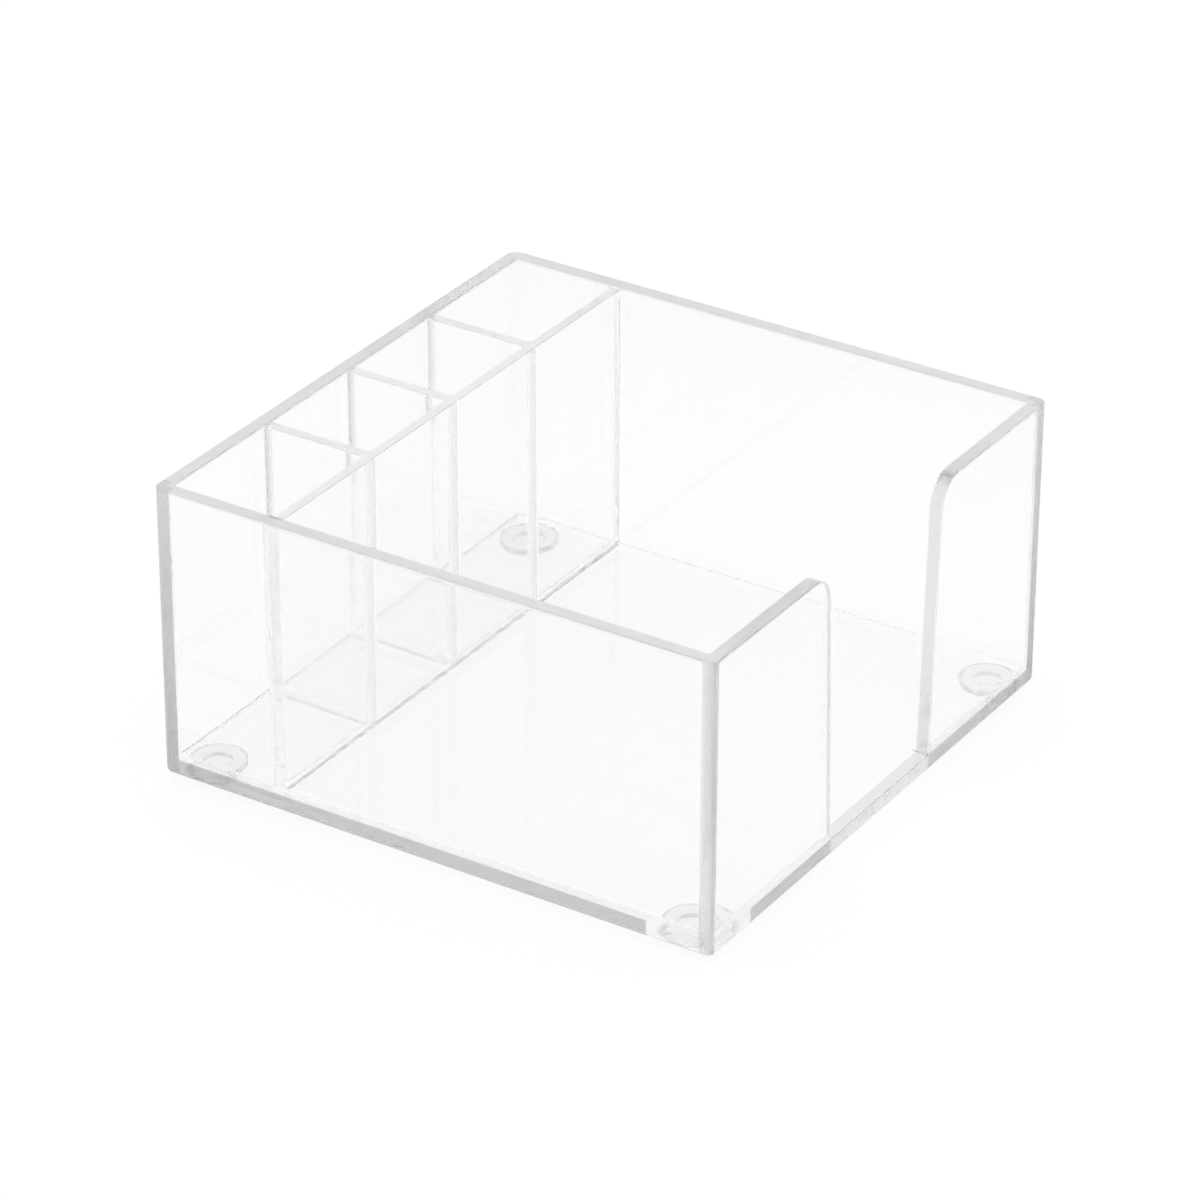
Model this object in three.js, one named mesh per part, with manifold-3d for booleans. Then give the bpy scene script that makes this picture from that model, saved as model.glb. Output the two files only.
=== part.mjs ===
// A clear memo box with a row of pen wells behind it, moulded in one piece, on four stuck-on pads.
// Millimetres. X runs along the notched front wall, Y from that wall to the pen wells, Z up.
// The origin is the middle of the footprint, on the surface that the pads stand on.

import * as THREE from 'three';
import { mergeVertices } from 'three/addons/utils/BufferGeometryUtils.js';
import Module from 'manifold-3d';

// Outside of the moulding
const boxWidth = 150;
const boxDepth = 151;
const boxHeight = 75.5;
const wallThickness = 3.5;
const floorThickness = 4.5;
const outerCornerRadius = 2.2;
const bottomEdgeRadius = 1.2;

// Inside of the moulding
const penWellLength = 27.65;
const partitionThickness = 2.5;
const dividerCount = 3;
const dividerSpacing = 34;
const dividerThickness = 2.8;
const innerWallDrop = 0.5;
const floorFilletRadius = 1;
const bayCornerRadius = 0.5;
const wellFrontCornerRadius = 1;
const wellBackCornerRadius = 0.3;
const coreDraftDegrees = 0.12;

// Notch in the front wall
const notchFloorWidth = 45.2;
const notchRimWidth = 50.4;
const notchWingRadius = 7.5;
const notchFootRadius = 1;

// Pads under the corners
const padRadius = 7;
const padHeight = 2;
const padInset = 10;
const padEdgeRadius = 1.2;
const padDimpleRadius = 3.3;
const padDimpleEdgeRadius = 0.9;
const padRoofThickness = 0.5;

// How far a cutting shape runs past what it cuts
const overrun = 5;

// A rolled edge never tightens a corner below this share of its radius
const leastCornerShare = 0.45;

// Fineness of the facets
const cornerSteps = 3;
const edgeSteps = 5;
const wingSteps = 8;
const padArcSteps = 3;
const padSides = 40;

const quarterTurn = Math.PI / 2;
const halfTurn = Math.PI;
const coreSlope = Math.tan(THREE.MathUtils.degToRad(coreDraftDegrees));

// Levels and faces that several pieces share
const underside = padHeight;
const floorTop = underside + floorThickness;
const rim = underside + boxHeight;
const innerWallTop = rim - innerWallDrop;
const innerSide = boxWidth / 2 - wallThickness;
const innerFront = wallThickness - boxDepth / 2;
const innerBack = boxDepth / 2 - wallThickness;
const wellFront = innerBack - penWellLength;
const bayBack = wellFront - partitionThickness;

const wasm = await Module();
wasm.setup();

function solidFrom(geometry) {
  geometry.deleteAttribute('normal');
  geometry.deleteAttribute('uv');
  const merged = mergeVertices(geometry);
  return new wasm.Manifold(new wasm.Mesh({
    numProp: 3,
    vertProperties: merged.attributes.position.array,
    triVerts: Uint32Array.from(merged.index.array),
  }));
}

function geometryFrom(solid) {
  const { vertProperties, triVerts } = solid.getMesh();
  const geometry = new THREE.BufferGeometry();
  geometry.setAttribute('position', new THREE.BufferAttribute(vertProperties, 3));
  geometry.setIndex(new THREE.BufferAttribute(triVerts, 1));
  geometry.computeVertexNormals();
  return geometry;
}

// A rectangle with rounded corners, drawn inset by some distance on every side.
function roundedOutline({ left, right, front, back, frontRadius, backRadius }, inset) {
  const nearRadius = Math.max(frontRadius - inset, frontRadius * leastCornerShare);
  const farRadius = Math.max(backRadius - inset, backRadius * leastCornerShare);
  const nearY = front + inset + nearRadius;
  const farY = back - inset - farRadius;
  const outline = new THREE.Shape();
  outline.absarc(right - inset - nearRadius, nearY, nearRadius, -quarterTurn, 0);
  outline.absarc(right - inset - farRadius, farY, farRadius, 0, quarterTurn);
  outline.absarc(left + inset + farRadius, farY, farRadius, quarterTurn, halfTurn);
  outline.absarc(left + inset + nearRadius, nearY, nearRadius, halfTurn, halfTurn + quarterTurn);
  return outline.getPoints(cornerSteps);
}

// A closed solid through a stack of outlines with equally many points, lowest first.
function loft(levels) {
  const count = levels[0].outline.length;
  const topStart = (levels.length - 1) * count;
  const positions = levels.flatMap(({ outline, z }) => outline.flatMap(({ x, y }) => [x, y, z]));
  const indices = [];
  for (let start = 0; start < topStart; start += count) {
    for (let step = 0; step < count; step += 1) {
      const low = start + step;
      const lowNext = start + (step + 1) % count;
      indices.push(low, lowNext, lowNext + count);
      indices.push(low, lowNext + count, low + count);
    }
  }
  for (const [a, b, c] of THREE.ShapeUtils.triangulateShape(levels[0].outline, [])) {
    indices.push(c, b, a);
  }
  for (const [a, b, c] of THREE.ShapeUtils.triangulateShape(levels.at(-1).outline, [])) {
    indices.push(topStart + a, topStart + b, topStart + c);
  }
  const geometry = new THREE.BufferGeometry();
  geometry.setAttribute('position', new THREE.Float32BufferAttribute(positions, 3));
  geometry.setIndex(indices);
  return geometry;
}

// A rounded block whose bottom edge is rolled to a radius. Its sides lean out from the bottom to
// the draft level by the given slope, and stand upright above that level.
function rolledBlock(sides, { bottom, top, draftLevel, edgeRadius, slope }) {
  const levels = [];
  for (let step = 0; step <= edgeSteps; step += 1) {
    const turn = quarterTurn * step / edgeSteps;
    const z = bottom + edgeRadius * (1 - Math.cos(turn));
    const inset = edgeRadius * (1 - Math.sin(turn)) + slope * (draftLevel - z);
    levels.push({ outline: roundedOutline(sides, inset), z });
  }
  levels.push({ outline: roundedOutline(sides, 0), z: draftLevel });
  levels.push({ outline: roundedOutline(sides, 0), z: top });
  return solidFrom(loft(levels));
}

function outerBlock() {
  const sides = {
    left: -boxWidth / 2,
    right: boxWidth / 2,
    front: -boxDepth / 2,
    back: boxDepth / 2,
    frontRadius: outerCornerRadius,
    backRadius: outerCornerRadius,
  };
  const heights = { bottom: underside, top: rim, draftLevel: innerWallTop };
  return rolledBlock(sides, { ...heights, edgeRadius: bottomEdgeRadius, slope: 0 });
}

// The hollow that one core of the mould leaves, from the floor up through the rim.
function coreHollow(sides) {
  const heights = { bottom: floorTop, top: rim + overrun, draftLevel: innerWallTop };
  return rolledBlock(sides, { ...heights, edgeRadius: floorFilletRadius, slope: coreSlope });
}

function memoBay() {
  return coreHollow({
    left: -innerSide,
    right: innerSide,
    front: innerFront,
    back: bayBack,
    frontRadius: bayCornerRadius,
    backRadius: bayCornerRadius,
  });
}

// The dividers stand at an even spacing about the middle, so the two end wells are a little wider.
function penWells() {
  const wells = [];
  const firstDivider = -dividerSpacing * (dividerCount - 1) / 2;
  for (let well = 0; well <= dividerCount; well += 1) {
    const dividerOnRight = firstDivider + dividerSpacing * well;
    const dividerOnLeft = dividerOnRight - dividerSpacing;
    wells.push(coreHollow({
      left: well === 0 ? -innerSide : dividerOnLeft + dividerThickness / 2,
      right: well === dividerCount ? innerSide : dividerOnRight - dividerThickness / 2,
      front: wellFront,
      back: innerBack,
      frontRadius: wellFrontCornerRadius,
      backRadius: wellBackCornerRadius,
    }));
  }
  return wells;
}

// The shallow step inside the rim that leaves the partition and the dividers lower than the walls.
function rimStep() {
  const sides = {
    left: -innerSide,
    right: innerSide,
    front: bayBack - overrun,
    back: innerBack,
    frontRadius: bayCornerRadius,
    backRadius: wellBackCornerRadius,
  };
  return solidFrom(loft([
    { outline: roundedOutline(sides, 0), z: innerWallTop },
    { outline: roundedOutline(sides, 0), z: rim + overrun },
  ]));
}

// The notch narrows a little towards the floor. Its upper corners roll over into the rim as
// rounded wings, and small fillets join its sides to the floor.
function notchOutline() {
  const halfFloor = notchFloorWidth / 2;
  const lean = Math.atan2(notchRimWidth / 2 - halfFloor, rim - floorTop);
  const wingZ = rim - notchWingRadius;
  const wingX = halfFloor + (notchWingRadius + (wingZ - floorTop) * Math.sin(lean)) / Math.cos(lean);
  const footX = halfFloor - notchFootRadius * (1 - Math.sin(lean)) / Math.cos(lean);
  const footZ = floorTop + notchFootRadius;
  const outline = new THREE.Path();
  outline.absarc(-footX, footZ, notchFootRadius, halfTurn + lean, halfTurn + quarterTurn);
  outline.absarc(footX, footZ, notchFootRadius, -quarterTurn, -lean);
  outline.absarc(wingX, wingZ, notchWingRadius, halfTurn - lean, quarterTurn, true);
  outline.lineTo(wingX, rim + overrun);
  outline.lineTo(-wingX, rim + overrun);
  outline.absarc(-wingX, wingZ, notchWingRadius, quarterTurn, lean, true);
  return new THREE.Shape(outline.getPoints(wingSteps));
}

function frontNotch() {
  const depth = wallThickness + floorFilletRadius + overrun * 2;
  const geometry = new THREE.ExtrudeGeometry(notchOutline(), { depth, bevelEnabled: false });
  geometry.rotateX(quarterTurn);
  geometry.translate(0, depth - overrun - boxDepth / 2, 0);
  return solidFrom(geometry);
}

function mouldedBox() {
  const hollows = [memoBay(), ...penWells(), rimStep(), frontNotch()];
  const carved = hollows.reduce((block, hollow) => block.subtract(hollow), outerBlock());
  return geometryFrom(carved);
}

// A pad with a rolled outer edge and a dimple, so that it stands on a flat ring.
function padGeometry() {
  const dimpleTop = padHeight - padRoofThickness;
  const ringInner = padDimpleRadius + padDimpleEdgeRadius;
  const ringOuter = padRadius - padEdgeRadius;
  const profile = new THREE.Path();
  profile.moveTo(0, dimpleTop);
  profile.lineTo(padDimpleRadius, dimpleTop);
  profile.absarc(ringInner, padDimpleEdgeRadius, padDimpleEdgeRadius, halfTurn, halfTurn + quarterTurn);
  profile.absarc(ringOuter, padEdgeRadius, padEdgeRadius, -quarterTurn, 0);
  profile.lineTo(padRadius, padHeight);
  profile.lineTo(0, padHeight);
  const geometry = new THREE.LatheGeometry(profile.getPoints(padArcSteps), padSides);
  geometry.rotateX(quarterTurn);
  return geometry;
}

const clearPlastic = new THREE.MeshStandardMaterial({
  color: 0xf2f5f5,
  roughness: 0.06,
  metalness: 0,
  transparent: true,
  opacity: 0.35,
});

const clearPad = new THREE.MeshStandardMaterial({
  color: 0xe9ecec,
  roughness: 0.3,
  metalness: 0,
  transparent: true,
  opacity: 0.5,
});

function namedMesh(name, geometry, material) {
  const mesh = new THREE.Mesh(geometry, material);
  mesh.name = name;
  return mesh;
}

const padX = boxWidth / 2 - padInset;
const padY = boxDepth / 2 - padInset;
const padPlaces = {
  foot_front_left: [-padX, -padY],
  foot_front_right: [padX, -padY],
  foot_back_left: [-padX, padY],
  foot_back_right: [padX, padY],
};

const memoBox = new THREE.Group();
memoBox.add(namedMesh('moulded_box', mouldedBox(), clearPlastic));
for (const [name, [x, y]] of Object.entries(padPlaces)) {
  const pad = namedMesh(name, padGeometry(), clearPad.clone());
  pad.position.set(x, y, 0);
  memoBox.add(pad);
}

export default memoBox;
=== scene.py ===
import math

import bmesh
import bpy
import numpy as np
from mathutils import Matrix, Vector


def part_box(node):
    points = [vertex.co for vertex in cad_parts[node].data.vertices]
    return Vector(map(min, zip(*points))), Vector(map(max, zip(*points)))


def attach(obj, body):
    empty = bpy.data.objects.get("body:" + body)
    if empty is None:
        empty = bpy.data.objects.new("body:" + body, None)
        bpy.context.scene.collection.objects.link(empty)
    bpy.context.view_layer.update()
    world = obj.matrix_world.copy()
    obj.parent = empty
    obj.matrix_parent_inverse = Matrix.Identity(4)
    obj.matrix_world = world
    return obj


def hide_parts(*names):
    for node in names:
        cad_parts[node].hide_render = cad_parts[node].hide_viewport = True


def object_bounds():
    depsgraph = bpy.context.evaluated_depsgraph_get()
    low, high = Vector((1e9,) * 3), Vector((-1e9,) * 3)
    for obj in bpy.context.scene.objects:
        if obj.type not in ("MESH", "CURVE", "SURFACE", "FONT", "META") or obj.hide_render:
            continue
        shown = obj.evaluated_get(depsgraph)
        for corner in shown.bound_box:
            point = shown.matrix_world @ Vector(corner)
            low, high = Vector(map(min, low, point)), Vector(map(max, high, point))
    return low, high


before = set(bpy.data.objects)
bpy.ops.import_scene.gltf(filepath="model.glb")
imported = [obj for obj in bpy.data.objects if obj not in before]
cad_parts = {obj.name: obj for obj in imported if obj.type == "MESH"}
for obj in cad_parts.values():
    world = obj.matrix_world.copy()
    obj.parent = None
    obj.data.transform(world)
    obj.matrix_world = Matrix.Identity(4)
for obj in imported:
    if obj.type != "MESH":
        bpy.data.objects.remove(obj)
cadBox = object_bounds()
scene = bpy.context.scene
mm = 0.001
print("frame loaded:", sorted(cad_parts))


# Camera, fitted to the straight edges of the photograph

cameraSetup = {
    "azimuth": -57.497,  # degrees round the object, 0 looks along +Y
    "elevation": 29.024,
    "roll": 0.183,
    "distance": 1376.1 * mm,
    "aim": (50.6 * mm, 34.0 * mm, 2.0 * mm),
    "focalPixels": 5540.1,
    "photoPixels": 1200,
    "sensorWidth": 36.0,  # millimetres, as Blender's lens value is
    "nearest": 0.05,
    "farthest": 60,
}


def makeCamera(setup):
    azimuth, elevation, roll = (math.radians(setup[key]) for key in ("azimuth", "elevation", "roll"))
    backward = Vector((
        math.sin(azimuth) * math.cos(elevation),
        -math.cos(azimuth) * math.cos(elevation),
        math.sin(elevation),
    ))
    level = Vector((0, 0, 1)).cross(backward).normalized()
    upright = backward.cross(level)
    right = math.cos(roll) * level + math.sin(roll) * upright
    up = backward.cross(right)
    turned = Matrix((right, up, backward)).transposed().to_4x4()

    data = bpy.data.cameras.new("photoCamera")
    data.sensor_width = setup["sensorWidth"]
    data.lens = setup["focalPixels"] / setup["photoPixels"] * setup["sensorWidth"]
    data.clip_start = setup["nearest"]
    data.clip_end = setup["farthest"]
    camera = bpy.data.objects.new("photoCamera", data)
    camera.matrix_world = Matrix.Translation(Vector(setup["aim"]) + backward * setup["distance"]) @ turned
    scene.collection.objects.link(camera)
    scene.camera = camera


makeCamera(cameraSetup)
print("camera placed")


# Small helpers for node trees and meshes

def addNode(tree, kind, **inputs):
    # Each input is a value, or a socket that is linked in
    node = tree.nodes.new(kind)
    for name, value in inputs.items():
        setInput(tree, node.inputs[name.replace("_", " ")], value)
    return node


def setInput(tree, socket, value):
    if isinstance(value, bpy.types.NodeSocket):
        tree.links.new(value, socket)
    else:
        socket.default_value = value


def addMath(tree, operation, first, second=0.0, clamp=False):
    node = tree.nodes.new("ShaderNodeMath")
    node.operation = operation
    node.use_clamp = clamp
    setInput(tree, node.inputs[0], first)
    setInput(tree, node.inputs[1], second)
    return node.outputs[0]


def addAll(tree, operation, first, *others):
    total = first
    for other in others:
        total = addMath(tree, operation, total, other)
    return total


def meshObject(name, points, faces, smooth=True):
    mesh = bpy.data.meshes.new(name)
    mesh.from_pydata(points, [], faces)
    mesh.validate()
    mesh.polygons.foreach_set("use_smooth", [smooth] * len(mesh.polygons))
    thing = bpy.data.objects.new(name, mesh)
    scene.collection.objects.link(thing)
    return thing


# Finish shared by the moulding and the pads: fine scratches, wiped haze and the slow ripple that
# plastic keeps from the mould, with painted shade on top. It gives a tone to multiply colour by
# (the haze's random greying plus the painted shade), a roughness for each side of a face and a
# height. The rim, the tops, the notch's ends, the outer corners and the strips behind which a wall
# ends are less polished than the broad faces, and most of them also get painted shade: a grey put
# into the colour that stands for the darker surroundings seen through those edges.

finishSetup = {
    "middle": 0.5,  # of a noise
    "rippleDetail": 1.0,
    "rippleRoughness": 0.45,
    "hazeSize": 55.0,
    "hazeDetail": 2.0,
    "hazeRoughness": 0.6,
    "hazeTone": 0.3,  # how much of the haze darkens the colour
    "strokeTurns": ((0.18, 0.3, 0.6), (-0.33, -0.55, -1.1)),  # radians; the scratches run in two directions
    "strokeStretches": ((1.0, 0.05, 0.4), (0.06, 1.0, 0.5)),
    "strokeThinness": 70.0,
    "strokeDip": 0.01,
    "patchSize": 24.0,  # scratches come in patches
    "patchContrast": 5.0,
    "flatNormal": 0.985,  # a face whose normal has no larger part than this is a rounded one
}

finishAndPaintedShadeInputs = {  # what a look leaves out stays at these values
    "ripple size": 30.0,
    "scratch size": 400.0,
    "base roughness": 0.02,
    "scratch roughness": 0.1,
    "haze": 0.01,
    "edge roughness": 0.0,
    "round roughness": 0.0,
    "top roughness": 0.0,
    "rim roughness": 0.0,
    "inside roughness": 0.03,
    "cut roughness": 0.0,
    "cut depth": 0.0,
    "notch half": 0.0,
    "wing half": 0.0,
    "painted shade lift under notch": 0.0,
    "half width": 1.0,
    "half depth": 1.0,
    "outer round": 0.0,
    "wall": 0.0,
    "strip width": 0.0,
    "edge margin": 0.0,
    "floor top": 0.0,
    "top level": 1.0,
    "rim level": 1.0,
    "rim painted shade": 0.0,
    "side foot painted shade": 0.0,
    "end foot painted shade": 0.0,
    "strip painted shade": 0.0,
    "strip fade": 0.0,
    "clear foot": 0.0,
    "partition face": 1.0,
    "divider half spacing": 1.0,
    "divider half": 0.0,
    "divider foot half": 0.0,
    "divider shift": 0.0,
    "divider reach": 0.0,
    "partition painted shade": 0.0,
    "back wall painted shade": 0.0,
    "back strip low": 0.0,
    "back strip fade": 1.0,
    "round painted shade": 0.0,
}


def times(tree, *values):
    return addAll(tree, "MULTIPLY", *values)


def minus(tree, *values):
    return addAll(tree, "SUBTRACT", *values)


def largest(tree, *values):
    return addAll(tree, "MAXIMUM", *values)


def above(tree, value, limit):
    return addMath(tree, "GREATER_THAN", value, limit)


def below(tree, value, limit):
    return addMath(tree, "LESS_THAN", value, limit)


def addScratches(group, place, given, setup):
    # Thin lines where a stretched noise crosses its middle value, in two directions and in patches
    strokes = []
    for turn, stretch in zip(setup["strokeTurns"], setup["strokeStretches"]):
        mapping = group.nodes.new("ShaderNodeMapping")
        mapping.inputs["Rotation"].default_value = turn
        mapping.inputs["Scale"].default_value = stretch
        group.links.new(place, mapping.inputs["Vector"])
        noise = addNode(group, "ShaderNodeTexNoise", Vector=mapping.outputs["Vector"],
                        Scale=given["scratch size"], Detail=0.0)
        offCentre = addMath(group, "ABSOLUTE", minus(group, noise.outputs["Fac"], setup["middle"]))
        narrowed = times(group, offCentre, setup["strokeThinness"])
        strokes.append(addMath(group, "SUBTRACT", 1.0, narrowed, clamp=True))
    patches = addNode(group, "ShaderNodeTexNoise", Vector=place, Scale=setup["patchSize"], Detail=0.0)
    worn = addMath(group, "MULTIPLY", minus(group, patches.outputs["Fac"], setup["middle"]),
                   setup["patchContrast"], clamp=True)
    return times(group, largest(group, *strokes), worn)


def addMasks(group, split, given, setup):
    # Each mask is 1 where a point lies in the place that names it
    x, y, z = (split[axis] for axis in "XYZ")
    masks = {}
    aside = addMath(group, "ABSOLUTE", x)
    fromSide = minus(group, given["half width"], aside)
    fromEnd = minus(group, given["half depth"], addMath(group, "ABSOLUTE", y))
    outside = below(group, addMath(group, "MINIMUM", fromSide, fromEnd), given["outer round"])
    overFloor = above(group, z, given["floor top"])
    wallInner = minus(group, given["wall"], given["edge margin"])
    masks["top"] = above(group, z, given["top level"])
    masks["rim"] = above(group, z, given["rim level"])

    # Rounded edges and fillets: where the surface faces between the three main directions
    normal = group.nodes.new("ShaderNodeTexCoord").outputs["Normal"]
    facing = addNode(group, "ShaderNodeSeparateXYZ", Vector=normal).outputs
    squarest = largest(group, *(addMath(group, "ABSOLUTE", facing[axis]) for axis in "XYZ"))
    masks["rounded"] = below(group, squarest, setup["flatNormal"])
    masks["outer round"] = times(group, masks["rounded"], outside)

    # The strips beside the two far corners, where light enters a wall lengthwise
    inFarCorner = below(group, times(group, x, y), 0.0)
    inCorner = below(group, largest(group, fromSide, fromEnd), given["strip width"])
    masks["strip"] = times(group, outside, inFarCorner, inCorner)

    # The floor's outer edge, apart from the near corner
    fromNearCorner = addAll(group, "ADD", x, y, given["half width"], given["half depth"])
    foot = times(group, below(group, z, given["floor top"]),
                 above(group, fromNearCorner, given["clear foot"]))
    masks["side foot"] = times(group, foot, below(group, fromSide, given["outer round"]))
    masks["end foot"] = times(group, foot, below(group, fromEnd, given["outer round"]))
    masks["under notch"] = below(group, aside, given["notch half"])

    # Faces that cross the front or back wall, and the notch's two ends but for their outermost part
    masks["in wall"] = times(group, above(group, fromEnd, given["edge margin"]),
                             below(group, fromEnd, wallInner))
    masks["cut"] = times(group, masks["in wall"], below(group, y, 0.0),
                         below(group, aside, given["wing half"]), overFloor,
                         below(group, z, given["rim level"]), above(group, fromEnd, given["cut depth"]))

    # Upright strips behind which the dividers end, on the partition's open side and at the back wall
    amongDividers = times(group, overFloor, below(group, z, given["top level"]),
                          below(group, aside, given["divider reach"]))
    toFace = addMath(group, "ABSOLUTE", minus(group, y, given["partition face"]))
    toDivider = addMath(group, "PINGPONG", x, given["divider half spacing"])
    toShifted = addMath(group, "PINGPONG", addMath(group, "ADD", x, given["divider shift"]),
                        given["divider half spacing"])
    masks["on partition"] = times(group, amongDividers, below(group, toFace, given["edge margin"]),
                                  below(group, toShifted, given["divider half"]))
    highUp = addMath(group, "DIVIDE", minus(group, z, given["back strip low"]),
                     given["back strip fade"], clamp=True)
    masks["at back wall"] = times(group, amongDividers, highUp, above(group, y, 0.0),
                                  below(group, toDivider, given["divider foot half"]),
                                  below(group, fromEnd, given["strip width"]),
                                  above(group, fromEnd, wallInner))
    return masks


def makeFinishAndPaintedShadeGroup(values, setup):
    group = bpy.data.node_groups.new("mouldedFinishAndPaintedShade", "ShaderNodeTree")
    for name, value in values.items():
        socket = group.interface.new_socket(name, in_out="INPUT", socket_type="NodeSocketFloat")
        socket.default_value = value
    for name in ("toneWithPaintedShade", "roughness", "inside roughness", "height"):
        group.interface.new_socket(name, in_out="OUTPUT", socket_type="NodeSocketFloat")
    given = group.nodes.new("NodeGroupInput").outputs
    result = group.nodes.new("NodeGroupOutput").inputs
    place = group.nodes.new("ShaderNodeTexCoord").outputs["Object"]
    split = addNode(group, "ShaderNodeSeparateXYZ", Vector=place).outputs

    ripple = addNode(group, "ShaderNodeTexNoise", Vector=place, Scale=given["ripple size"],
                     Detail=setup["rippleDetail"], Roughness=setup["rippleRoughness"])
    haze = addNode(group, "ShaderNodeTexNoise", Vector=place, Scale=setup["hazeSize"],
                   Detail=setup["hazeDetail"], Roughness=setup["hazeRoughness"])
    scratches = addScratches(group, place, given, setup)
    masks = addMasks(group, split, given, setup)

    hazeAmount = times(group, haze.outputs["Fac"], given["haze"])
    roughness = addAll(group, "ADD", given["base roughness"], hazeAmount,
                       times(group, scratches, given["scratch roughness"]))
    edge = largest(group, masks["strip"], masks["in wall"], masks["on partition"], masks["at back wall"])
    roughness = largest(group, roughness, times(group, edge, given["edge roughness"]),
                        times(group, masks["outer round"], given["round roughness"]),
                        times(group, masks["top"], given["top roughness"]),
                        times(group, masks["rim"], given["rim roughness"]))
    group.links.new(roughness, result["roughness"])
    insideRoughness = largest(group, given["inside roughness"],
                              times(group, masks["cut"], given["cut roughness"]))
    group.links.new(insideRoughness, result["inside roughness"])

    # Painted shade: how much the colour is darkened at the rim, the foot, the strips and the divider lines,
    # where darker surroundings would show, and on the pads' rounded edges
    stripShade = minus(group, given["strip painted shade"], times(group, split["Z"], given["strip fade"]))
    endShade = minus(group, given["end foot painted shade"],
                     times(group, masks["under notch"], given["painted shade lift under notch"]))
    shade = largest(group, times(group, largest(group, masks["rim"], masks["in wall"]), given["rim painted shade"]),
                    times(group, masks["side foot"], given["side foot painted shade"]),
                    times(group, masks["end foot"], endShade),
                    times(group, masks["strip"], stripShade),
                    times(group, masks["on partition"], given["partition painted shade"]),
                    times(group, masks["at back wall"], given["back wall painted shade"]),
                    times(group, masks["rounded"], given["round painted shade"]))
    toneWithPaintedShade = minus(group, 1.0, times(group, hazeAmount, setup["hazeTone"]), shade)
    group.links.new(toneWithPaintedShade, result["toneWithPaintedShade"])
    height = minus(group, ripple.outputs["Fac"], times(group, scratches, setup["strokeDip"]))
    group.links.new(height, result["height"])
    return group


finishAndPaintedShadeGroup = makeFinishAndPaintedShadeGroup(finishAndPaintedShadeInputs, finishSetup)


# Clear plastics

plasticLook = {
    "colour": (0.997, 0.998, 0.998),
    "ior": 1.5,
    "transmission": 0.997,  # the rest scatters at the surface, which fills the edges with soft grey
    "rippleDepth": 0.0004 * mm,
    "absorbColour": (0.5, 0.5, 0.5),
    "absorbDensity": 0.5,  # per metre; thick stretches and the edges turn grey by it
    "lampPass": (0.96, 0.96, 0.96),
    "finishAndPaintedShade": {
        "ripple size": 26.0,
        "scratch size": 380.0,
        "base roughness": 0.04,
        "scratch roughness": 0.05,
        "haze": 0.02,
        "edge roughness": 0.25,
        "round roughness": 0.3,
        "top roughness": 0.3,
        "rim roughness": 0.32,
        "cut roughness": 0.35,  # of the notch's two ends, for light that meets them from inside
        "cut depth": 0.9 * mm,  # they are matt from this depth inwards
        "notch half": 22.6 * mm,
        "wing half": 32.0 * mm,  # both ends lie nearer to the middle than this
        "painted shade lift under notch": 0.4,  # how much less painted shade the foot has below the notch
        "half width": cadBox[1].x,
        "half depth": cadBox[1].y,
        "outer round": 2.2 * mm,
        "wall": 3.5 * mm,
        "strip width": 4.6 * mm,
        "edge margin": 0.3 * mm,
        "floor top": 6.5 * mm,  # with the pads and the rolled edge of the hollows
        "top level": cadBox[1].z - 0.8 * mm,
        "rim level": cadBox[1].z - 0.25 * mm,
        # Painted shade on the rim and the faces across the walls, for the grey that darker surroundings
        # give there
        "rim painted shade": 0.25,
        # Painted shade along the floor's outer edge, for the shadowed table that would show through it
        "side foot painted shade": 0.62,
        "end foot painted shade": 0.65,
        "clear foot": 17 * mm,  # no painted shade near the corner where the pad shows through
        # Painted shade on the strips by the two far corners, for the darker studio seen along the walls
        "strip painted shade": 0.72,
        "strip fade": 3.6,  # per metre of height: the painted shade grows lighter upwards
        "partition face": 41.8 * mm,
        "divider half spacing": 17.0 * mm,
        "divider half": 1.4 * mm,
        "divider foot half": 2.2 * mm,  # with its fillets, at the back wall
        "divider shift": 1.55 * mm,  # light bends on its way through the partition
        "divider reach": 40.0 * mm,  # no divider lies further from the middle
        # Painted shade on the upright lines where the dividers end, for the darker corners seen along them
        "partition painted shade": 0.08,
        "back wall painted shade": 0.2,
        "back strip low": 46.0 * mm,  # the painted shade of the strips at the back wall fades out downwards to this height
        "back strip fade": 5.0 * mm,
    },
}

padLook = {
    "colour": (0.96, 0.962, 0.962),
    "ior": 1.5,
    "transmission": 0.98,
    "rippleDepth": 0.001 * mm,
    "absorbColour": (0.5, 0.5, 0.5),
    "absorbDensity": 16.0,
    "lampPass": (0.9, 0.9, 0.9),
    "finishAndPaintedShade": {
        "ripple size": 160.0,
        "scratch size": 700.0,
        "base roughness": 0.03,
        "scratch roughness": 0.06,
        "haze": 0.04,
        # Painted shade on the pad's rounded edges, for the grey rings that refraction shows there
        "round painted shade": 0.45,
    },
}


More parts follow.
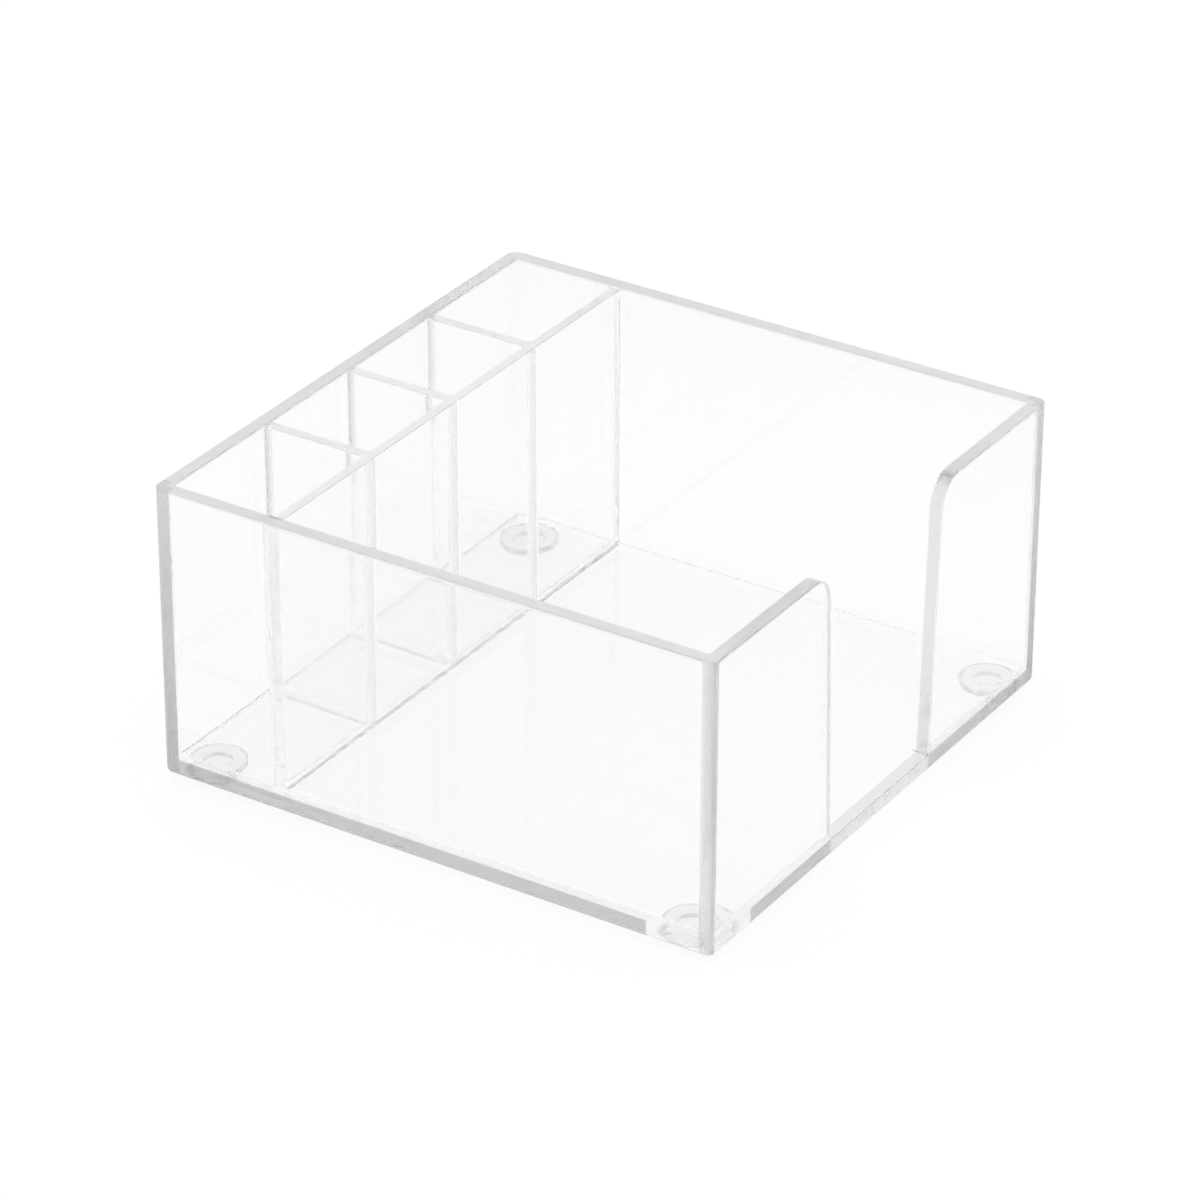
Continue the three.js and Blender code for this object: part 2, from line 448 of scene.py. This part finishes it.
def makeClearMaterial(name, look):
    material = bpy.data.materials.new(name)
    material.use_nodes = True
    tree = material.node_tree
    tree.nodes.clear()
    finishAndPaintedShade = tree.nodes.new("ShaderNodeGroup")
    finishAndPaintedShade.node_tree = finishAndPaintedShadeGroup
    for socket, value in look["finishAndPaintedShade"].items():
        finishAndPaintedShade.inputs[socket].default_value = value

    # Light that runs along inside a wall meets a plain polished face without the painted shade, which
    # darkens only light that enters from outside
    inside = tree.nodes.new("ShaderNodeNewGeometry").outputs["Backfacing"]
    outer = minus(tree, 1.0, inside)
    roughness = addMath(tree, "ADD", times(tree, finishAndPaintedShade.outputs["roughness"], outer),
                        times(tree, finishAndPaintedShade.outputs["inside roughness"], inside))
    toneWithPaintedShade = largest(tree, finishAndPaintedShade.outputs["toneWithPaintedShade"], inside)

    # The plastic's colour times the tone, which carries the painted shade
    tinted = tree.nodes.new("ShaderNodeMix")
    tinted.data_type = "RGBA"
    tinted.blend_type = "MULTIPLY"
    tinted.inputs["Factor"].default_value = 1.0
    tinted.inputs["A"].default_value = (*look["colour"], 1)
    tree.links.new(toneWithPaintedShade, tinted.inputs["B"])
    bump = addNode(tree, "ShaderNodeBump", Height=finishAndPaintedShade.outputs["height"], Distance=look["rippleDepth"])
    plastic = addNode(tree, "ShaderNodeBsdfPrincipled", Roughness=roughness,
                      IOR=look["ior"], Metallic=0.0, Transmission_Weight=look["transmission"],
                      Normal=bump.outputs["Normal"])
    tree.links.new(tinted.outputs["Result"], plastic.inputs["Base Color"])

    # Lamps shine through the plastic, so its shadow stays as faint as a clear box's is
    through = addNode(tree, "ShaderNodeBsdfTransparent", Color=(*look["lampPass"], 1))
    lightPath = tree.nodes.new("ShaderNodeLightPath")
    mix = tree.nodes.new("ShaderNodeMixShader")
    tree.links.new(lightPath.outputs["Is Shadow Ray"], mix.inputs[0])
    tree.links.new(plastic.outputs[0], mix.inputs[1])
    tree.links.new(through.outputs[0], mix.inputs[2])
    depth = addNode(tree, "ShaderNodeVolumeAbsorption", Color=(*look["absorbColour"], 1),
                    Density=look["absorbDensity"])
    output = tree.nodes.new("ShaderNodeOutputMaterial")
    tree.links.new(mix.outputs[0], output.inputs["Surface"])
    tree.links.new(depth.outputs[0], output.inputs["Volume"])
    return material


clearPlastic = makeClearMaterial("clearPlastic", plasticLook)
clearPadMaterial = makeClearMaterial("clearPad", padLook)
print("materials made")


# The moulding: the CAD solid with its loose triangles joined, flat faces cleaned and every sharp
# edge softened to the small radius that a polished mould leaves

mouldingSetup = {
    "joinDistance": 0.002 * mm,
    "flatAngle": 0.02,  # degrees between triangles of one flat face
    "smoothAngle": 28.0,
    "edgeAngle": 50.0,
    "edgeRadius": 0.16 * mm,
    "edgeSegments": 3,
    "flatWeight": 100,  # how much the flat faces' own normals count
}


def makeMoulding(setup):
    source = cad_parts["moulded_box"]
    mesh = source.data.copy()
    mesh.name = "clearMoulding"
    mesh.materials.clear()
    shape = bmesh.new()
    shape.from_mesh(mesh)
    bmesh.ops.remove_doubles(shape, verts=shape.verts, dist=setup["joinDistance"])
    bmesh.ops.dissolve_limit(shape, angle_limit=math.radians(setup["flatAngle"]),
                             verts=shape.verts, edges=shape.edges)
    shape.to_mesh(mesh)
    shape.free()
    mesh.polygons.foreach_set("use_smooth", [True] * len(mesh.polygons))
    mesh.set_sharp_from_angle(angle=math.radians(setup["smoothAngle"]))
    moulding = bpy.data.objects.new("clearMoulding", mesh)
    scene.collection.objects.link(moulding)

    bevel = moulding.modifiers.new("softEdges", "BEVEL")
    bevel.width = setup["edgeRadius"]
    bevel.segments = setup["edgeSegments"]
    bevel.limit_method = "ANGLE"
    bevel.angle_limit = math.radians(setup["edgeAngle"])
    bevel.use_clamp_overlap = False
    bevel.miter_outer = "MITER_ARC"
    shading = moulding.modifiers.new("flatFacesFlat", "WEIGHTED_NORMAL")
    shading.weight = setup["flatWeight"]
    shading.keep_sharp = True

    mesh.materials.append(clearPlastic)
    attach(moulding, "root")
    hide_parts("moulded_box")
    return moulding


moulding = makeMoulding(mouldingSetup)
print("moulding made:", len(moulding.data.polygons), "faces before its modifiers")


# Pads: round clear feet with a dimple, pressed flat against the underside

padSetup = {
    "sides": 96,
    "sink": 0.03 * mm,  # the pad wets the underside, so no air lies between the two
    "edgeRadius": 1.2 * mm,
    "dimpleRadius": 3.3 * mm,
    "dimpleEdgeRadius": 0.9 * mm,
    "roofThickness": 0.5 * mm,
    "arcSteps": 10,
    "smoothAngle": 40.0,
}


def arcPoints(centre, radius, start, end, steps):
    # A circle's points by angle, from start to end, in the plane of radius and height
    angle = np.linspace(start, end, steps + 1)
    return np.stack((centre[0] + radius * np.cos(angle), centre[1] + radius * np.sin(angle)), axis=1)


def makePad(node, setup):
    low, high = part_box(node)
    centre = (low + high) / 2
    radius = (high.x - low.x) / 2
    height = high.z - low.z
    roof = height - setup["roofThickness"]
    innerRound = arcPoints((setup["dimpleRadius"] + setup["dimpleEdgeRadius"], setup["dimpleEdgeRadius"]),
                           setup["dimpleEdgeRadius"], math.pi, 1.5 * math.pi, setup["arcSteps"])
    outerRound = arcPoints((radius - setup["edgeRadius"], setup["edgeRadius"]),
                           setup["edgeRadius"], -0.5 * math.pi, 0, setup["arcSteps"])
    top = np.array([[radius, height + setup["sink"]], [0.0, height + setup["sink"]]])
    start = np.array([[0.0, roof], [setup["dimpleRadius"], roof]])
    profile = np.concatenate((start, innerRound, outerRound, top))

    # Each profile point turns round the vertical axis: x and y are radius times cosine and sine
    turn = np.linspace(0, 2 * math.pi, setup["sides"], endpoint=False)
    ring = profile[1:-1]
    x = ring[:, :1] * np.cos(turn) + centre.x
    y = ring[:, :1] * np.sin(turn) + centre.y
    z = np.repeat(ring[:, 1:], setup["sides"], axis=1) + low.z
    body = np.stack((x, y, z), axis=-1).reshape(-1, 3)
    poles = np.array([[centre.x, centre.y, profile[0, 1] + low.z],
                      [centre.x, centre.y, profile[-1, 1] + low.z]])
    points = np.concatenate((body, poles))

    rows, sides = len(ring), setup["sides"]
    row, column = np.meshgrid(np.arange(rows - 1), np.arange(sides), indexing="ij")
    after = (column + 1) % sides
    quads = np.stack((row * sides + column, row * sides + after,
                      (row + 1) * sides + after, (row + 1) * sides + column), axis=-1).reshape(-1, 4)
    first = np.arange(sides)
    second = (first + 1) % sides
    last = (rows - 1) * sides
    lowFan = np.stack((second, first, np.full(sides, rows * sides)), axis=-1)
    highFan = np.stack((last + first, last + second, np.full(sides, rows * sides + 1)), axis=-1)
    faces = quads.tolist() + lowFan.tolist() + highFan.tolist()

    pad = meshObject(node.replace("foot", "pad"), points.tolist(), faces)
    pad.data.set_sharp_from_angle(angle=math.radians(setup["smoothAngle"]))
    pad.data.materials.append(clearPadMaterial)
    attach(pad, "root")
    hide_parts(node)
    return pad


pads = [makePad(node, padSetup) for node in sorted(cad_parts) if node.startswith("foot")]
print("pads made:", len(pads))


# Floor, world and lamps

studioSetup = {
    "floorSize": 12.0,
    "floorDrop": 0.02 * mm,
    "floorColour": (0.78, 0.78, 0.78),
    "floorGlow": 1.085,
    "glowShare": 0.8,
    "paintedLightPoolDrop": 0.085,  # painted pool of light: how much darker the floor glows behind plastic, away from the object
    "fadeStart": 0.1,
    "fadeEnd": 0.35,
    "grainSize": 900.0,
    "grainDetail": 2.0,
    "grainDepth": 0.02 * mm,
    "worldTone": 0.75,  # for the light that the world gives; rays that show it see plain white
    "lightBounces": 256,
}

lampSetup = (
    {"name": "keySoftbox", "place": (-0.9, -0.4, 1.3), "size": 0.9, "radiance": 1.2},
    {"name": "fillSoftbox", "place": (1.1, -0.9, 1.0), "size": 0.8, "radiance": 0.9},
    {"name": "topSoftbox", "place": (0.1, 0.6, 1.6), "size": 1.0, "radiance": 1.0},
)


def seenRay(tree):
    # 1 for rays that show the surface to the camera, straight or through plastic
    path = tree.nodes.new("ShaderNodeLightPath")
    return largest(tree, *(path.outputs[kind] for kind in
                           ("Is Camera Ray", "Is Glossy Ray", "Is Transmission Ray")))


def makeFloor(setup):
    half = setup["floorSize"] / 2
    drop = -setup["floorDrop"]
    corners = [(-half, -half, drop), (half, -half, drop), (half, half, drop), (-half, half, drop)]
    floor = meshObject("studioFloor", corners, [(0, 1, 2, 3)], smooth=False)
    material = bpy.data.materials.new("paperFloor")
    material.use_nodes = True
    tree = material.node_tree
    tree.nodes.clear()
    place = tree.nodes.new("ShaderNodeTexCoord").outputs["Object"]
    grain = addNode(tree, "ShaderNodeTexNoise", Vector=place, Scale=setup["grainSize"],
                    Detail=setup["grainDetail"])
    bump = addNode(tree, "ShaderNodeBump", Height=grain.outputs["Fac"], Distance=setup["grainDepth"])
    paper = addNode(tree, "ShaderNodeBsdfDiffuse", Color=(*setup["floorColour"], 1),
                    Normal=bump.outputs["Normal"])
    away = addNode(tree, "ShaderNodeVectorMath", Vector=place)
    away.operation = "LENGTH"
    # Painted pool of light: seen through the plastic, the floor glows less away from the object
    fade = tree.nodes.new("ShaderNodeMapRange")
    fade.interpolation_type = "SMOOTHSTEP"
    setInput(tree, fade.inputs["Value"], away.outputs["Value"])
    fade.inputs["From Min"].default_value = setup["fadeStart"]
    fade.inputs["From Max"].default_value = setup["fadeEnd"]
    fade.inputs["To Max"].default_value = setup["paintedLightPoolDrop"]
    direct = tree.nodes.new("ShaderNodeLightPath").outputs["Is Camera Ray"]
    behind = times(tree, fade.outputs["Result"], minus(tree, 1.0, direct))
    glowing = times(tree, setup["floorGlow"], minus(tree, 1.0, behind))
    glow = addNode(tree, "ShaderNodeEmission", Strength=glowing)
    both = tree.nodes.new("ShaderNodeMixShader")
    tree.links.new(times(tree, seenRay(tree), setup["glowShare"]), both.inputs[0])
    tree.links.new(paper.outputs[0], both.inputs[1])
    tree.links.new(glow.outputs[0], both.inputs[2])
    output = tree.nodes.new("ShaderNodeOutputMaterial")
    tree.links.new(both.outputs[0], output.inputs["Surface"])
    floor.data.materials.append(material)


def makeWorld(setup):
    world = bpy.data.worlds.new("studio")
    scene.world = world
    world.use_nodes = True
    tree = world.node_tree
    tree.nodes.clear()
    strength = largest(tree, seenRay(tree), setup["worldTone"])
    background = addNode(tree, "ShaderNodeBackground", Color=(1, 1, 1, 1), Strength=strength)
    output = tree.nodes.new("ShaderNodeOutputWorld")
    tree.links.new(background.outputs[0], output.inputs["Surface"])


def makeLamp(setup):
    data = bpy.data.lights.new(setup["name"], "AREA")
    data.shape = "SQUARE"
    data.size = setup["size"]
    data.energy = setup["radiance"] * math.pi * setup["size"] ** 2
    lamp = bpy.data.objects.new(setup["name"], data)
    lamp.location = setup["place"]
    lamp.rotation_euler = (-Vector(setup["place"])).to_track_quat("-Z", "Y").to_euler()
    lamp.visible_glossy = False
    lamp.visible_transmission = False
    scene.collection.objects.link(lamp)


makeFloor(studioSetup)
makeWorld(studioSetup)
for lamp in lampSetup:
    makeLamp(lamp)
scene.view_settings.view_transform = "Standard"

# Light runs along inside a clear wall by many reflections, so paths are let go on for longer
scene.cycles.max_bounces = studioSetup["lightBounces"]
scene.cycles.glossy_bounces = studioSetup["lightBounces"]
scene.cycles.transmission_bounces = studioSetup["lightBounces"]
print("studio made")
